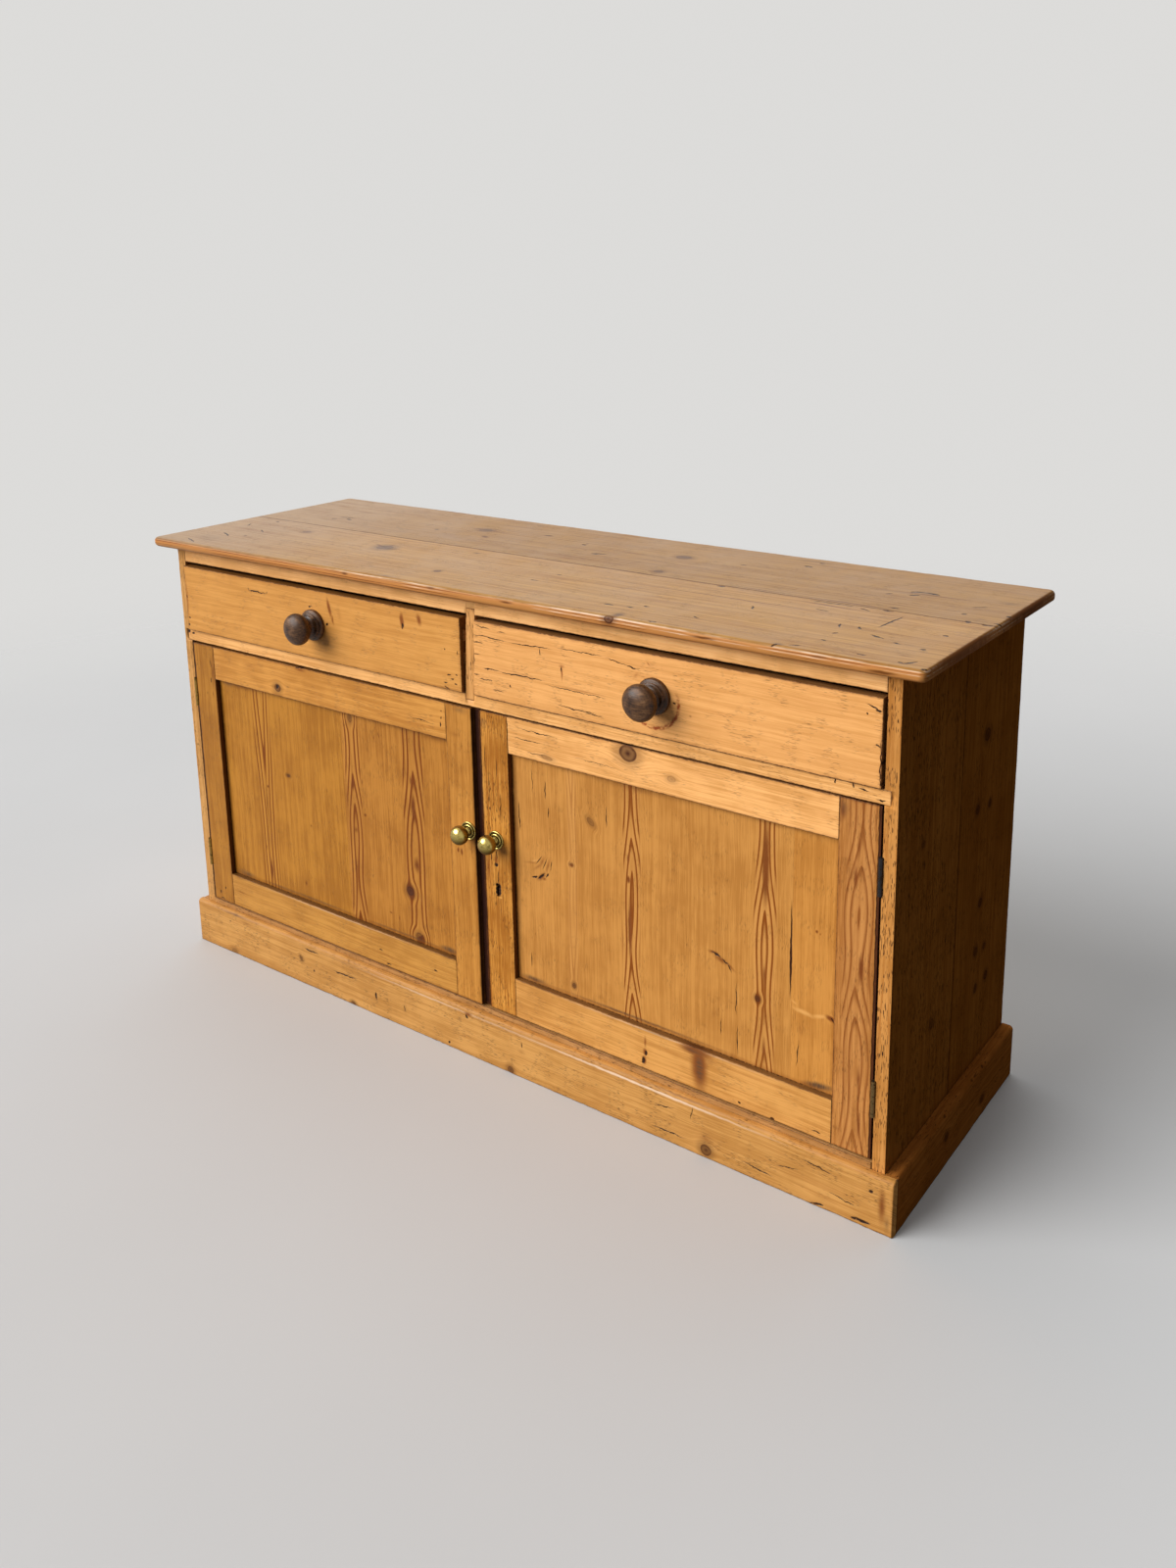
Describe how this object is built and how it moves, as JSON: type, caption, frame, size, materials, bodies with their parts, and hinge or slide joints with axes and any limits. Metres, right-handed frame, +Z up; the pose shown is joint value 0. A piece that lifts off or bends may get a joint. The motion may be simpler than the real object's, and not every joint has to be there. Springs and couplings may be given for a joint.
{
  "type": "sideboard",
  "caption": "Low old pine cupboard with a thin overhanging top, drawers with turned wooden pulls over framed and panelled hinged doors with small brass knobs, and a planted plinth.",
  "frame": {"origin": "on the floor, at the centre of the footprint of the whole piece, pulls included", "axes": "+X along the front to the viewer's right, -Y out of the front, +Z up"},
  "size_m": [1.582, 0.547, 0.848],
  "materials": {
    "pine_top": "worn wax",
    "pine_carcass": "worn wax",
    "pine_drawer_fronts": "worn wax",
    "pine_doors": "worn wax",
    "pine_plinth": "worn wax",
    "pine_inside": "bare",
    "dark_turned_wood": "waxed",
    "polished_brass": "handled",
    "aged_brass": "tarnished",
    "dark_steel": "dull",
    "lock_steel": "dull"
  },
  "bodies": {
    "carcass": {"back_boards": "pine_inside", "bottom_boards": "pine_inside", "drawer_divider": "pine_carcass", "drawer_guide": "pine_inside", "drawer_kickers": "pine_inside", "drawer_rail": "pine_carcass", "drawer_runners": "pine_inside", "drawer_stops": "pine_inside", "frame_hinge_screws": "dark_steel", "left_frame_hinge_leaves": "aged_brass", "left_hinge_pins": "dark_steel", "left_plinth": "pine_plinth", "left_side_back_board": "pine_carcass", "left_side_front_board": "pine_carcass", "plinth_front": "pine_plinth", "right_frame_hinge_leaves": "aged_brass", "right_hinge_pins": "dark_steel", "right_plinth": "pine_plinth", "right_side_back_board": "pine_carcass", "right_side_front_board": "pine_carcass", "shelf": "pine_inside", "shelf_bearers": "pine_inside", "top_back_board": "pine_top", "top_front_board": "pine_top", "top_rail": "pine_carcass"},
    "left_door": {"left_door_bottom_rail": "pine_doors", "left_door_hinge_leaves": "aged_brass", "left_door_hinge_screws": "dark_steel", "left_door_hinge_stile": "pine_doors", "left_door_inner_panel": "pine_doors", "left_door_knob": "polished_brass", "left_door_knob_plate": "polished_brass", "left_door_meeting_stile": "pine_doors", "left_door_outer_panel": "pine_doors", "left_door_top_rail": "pine_doors"},
    "left_drawer": {"left_drawer_back": "pine_inside", "left_drawer_bottom": "pine_inside", "left_drawer_front": "pine_drawer_fronts", "left_drawer_inner_side": "pine_inside", "left_drawer_outer_side": "pine_inside", "left_drawer_pull": "dark_turned_wood"},
    "right_door": {"right_door_bottom_rail": "pine_doors", "right_door_hinge_leaves": "aged_brass", "right_door_hinge_screws": "dark_steel", "right_door_hinge_stile": "pine_doors", "right_door_inner_panel": "pine_doors", "right_door_knob": "polished_brass", "right_door_knob_plate": "polished_brass", "right_door_lock_case": "lock_steel", "right_door_meeting_stile": "pine_doors", "right_door_outer_panel": "pine_doors", "right_door_top_rail": "pine_doors"},
    "lock_bolt": {"right_door_lock_bolt": "lock_steel"},
    "right_drawer": {"right_drawer_back": "pine_inside", "right_drawer_bottom": "pine_inside", "right_drawer_front": "pine_drawer_fronts", "right_drawer_inner_side": "pine_inside", "right_drawer_outer_side": "pine_inside", "right_drawer_pull": "dark_turned_wood"}
  },
  "joints": [
    {"name": "left_drawer_slide", "type": "slide", "parent": "carcass", "child": "left_drawer", "axis": [0, -1, 0], "range_m": [0, 0.34]},
    {"name": "right_drawer_slide", "type": "slide", "parent": "carcass", "child": "right_drawer", "axis": [0, -1, 0], "range_m": [0, 0.34]},
    {"name": "left_door_hinge", "type": "hinge", "parent": "carcass", "child": "left_door", "pos_m": [-0.7275, -0.2145, 0.3725], "axis": [0, 0, -1], "range_deg": [0, 170]},
    {"name": "right_door_hinge", "type": "hinge", "parent": "carcass", "child": "right_door", "pos_m": [0.7275, -0.2145, 0.3725], "axis": [0, 0, 1], "range_deg": [0, 170]},
    {"name": "lock_bolt_slide", "type": "slide", "parent": "right_door", "child": "lock_bolt", "axis": [-1, 0, 0], "range_m": [0, 0.008]}
  ]
}
